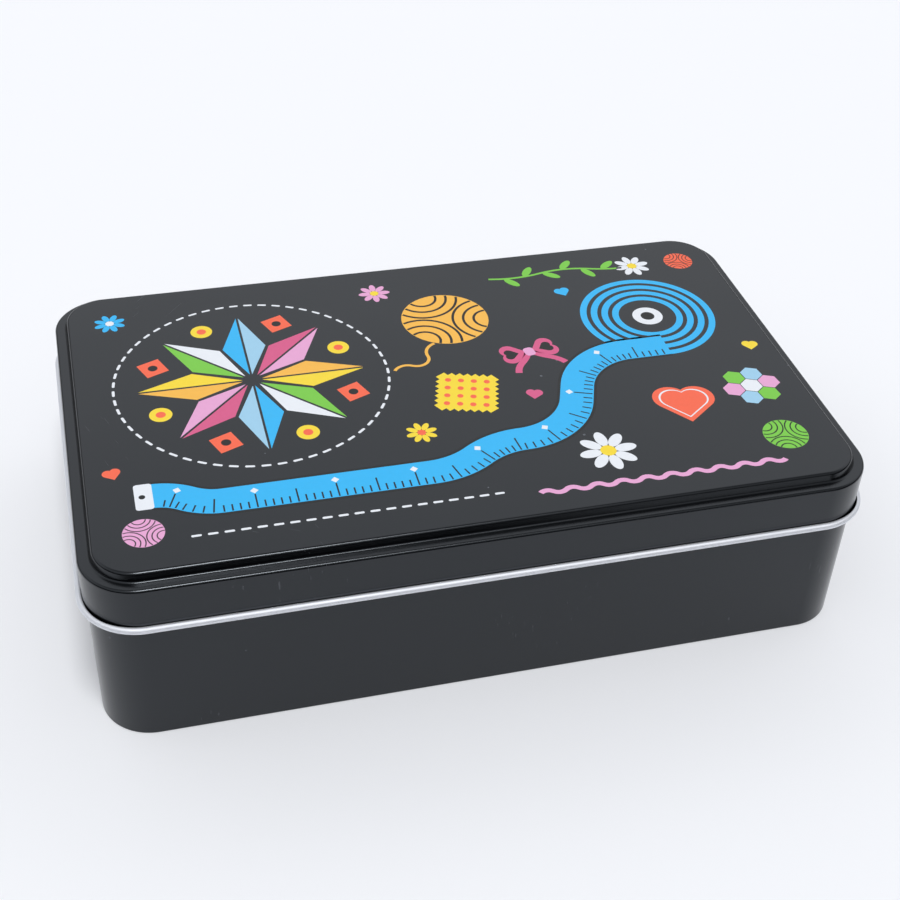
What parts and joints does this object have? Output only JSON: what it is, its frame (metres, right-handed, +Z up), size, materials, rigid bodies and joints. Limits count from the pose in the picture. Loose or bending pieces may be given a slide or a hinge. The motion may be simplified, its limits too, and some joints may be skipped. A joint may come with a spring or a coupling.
{
  "type": "sewing tin",
  "caption": "Low rectangular tinplate box with rounded corners and a lift-off lid with a raised panel, a deep skirt and a curled rim, for keeping sewing things.",
  "frame": {"origin": "on the table under the middle of the box, lid shut", "axes": "+Z up, X along the long side, the front looks towards -Y and the wall's seam is at the back"},
  "size_m": [0.203, 0.127, 0.0516],
  "materials": {
    "lid_lacquer": "satin black lacquer on tinplate, bare tinplate inside",
    "body_lacquer": "satin black lacquer on tinplate, bare tinplate inside",
    "tinplate": "bare rolled tinplate"
  },
  "bodies": {
    "body": {"body_wall": "body_lacquer", "bottom_plate": "tinplate"},
    "lid": {"lid": "lid_lacquer"}
  },
  "joints": [
    {"name": "lid_lift", "type": "slide", "parent": "body", "child": "lid", "axis": [0, 0, 1], "range_m": [0, 0.06]}
  ]
}
